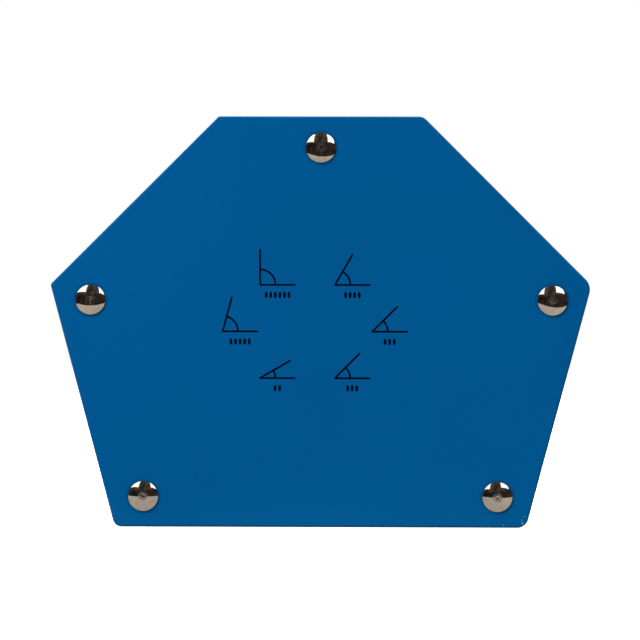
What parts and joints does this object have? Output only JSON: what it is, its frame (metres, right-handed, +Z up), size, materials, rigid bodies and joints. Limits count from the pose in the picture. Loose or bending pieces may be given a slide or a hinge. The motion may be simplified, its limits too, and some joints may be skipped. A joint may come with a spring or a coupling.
{
  "type": "welding magnet holder",
  "caption": "Flat polygonal magnetic holder: painted cover plates over bare steel pole plates whose straight edges hold steel work at set angles for welding.",
  "frame": {"origin": "on the base plane, under the middle of the holder and half way through its thickness", "axes": "+Z up from the long base edge, +X along the base edge to the right as seen from the printed front, -Y out of the printed front face"},
  "size_m": [0.1544, 0.0293, 0.1176],
  "materials": {
    "cover_paint": "satin",
    "pole_steel": "satin",
    "band_aluminium": "satin",
    "carrier_plastic": "matte",
    "ferrite": "matte",
    "spacer_aluminium": "satin",
    "rivet_nickel": "polished"
  },
  "bodies": {
    "root": {"front_cover": "cover_paint", "rear_cover": "cover_paint", "front_pole_plate": "pole_steel", "rear_pole_plate": "pole_steel", "rim_band": "band_aluminium", "magnet_carrier": "carrier_plastic", "magnet_lower_left_front": "ferrite", "magnet_lower_left_rear": "ferrite", "magnet_lower_right_front": "ferrite", "magnet_lower_right_rear": "ferrite", "magnet_middle_left_front": "ferrite", "magnet_middle_left_rear": "ferrite", "magnet_middle_right_front": "ferrite", "magnet_middle_right_rear": "ferrite", "magnet_top_front": "ferrite", "magnet_top_rear": "ferrite", "spacer_top": "spacer_aluminium", "spacer_left": "spacer_aluminium", "spacer_right": "spacer_aluminium", "spacer_lower_left": "spacer_aluminium", "spacer_lower_right": "spacer_aluminium", "rivet_top": "rivet_nickel", "rivet_left": "rivet_nickel", "rivet_right": "rivet_nickel", "rivet_lower_left": "rivet_nickel", "rivet_lower_right": "rivet_nickel"}
  },
  "joints": []
}
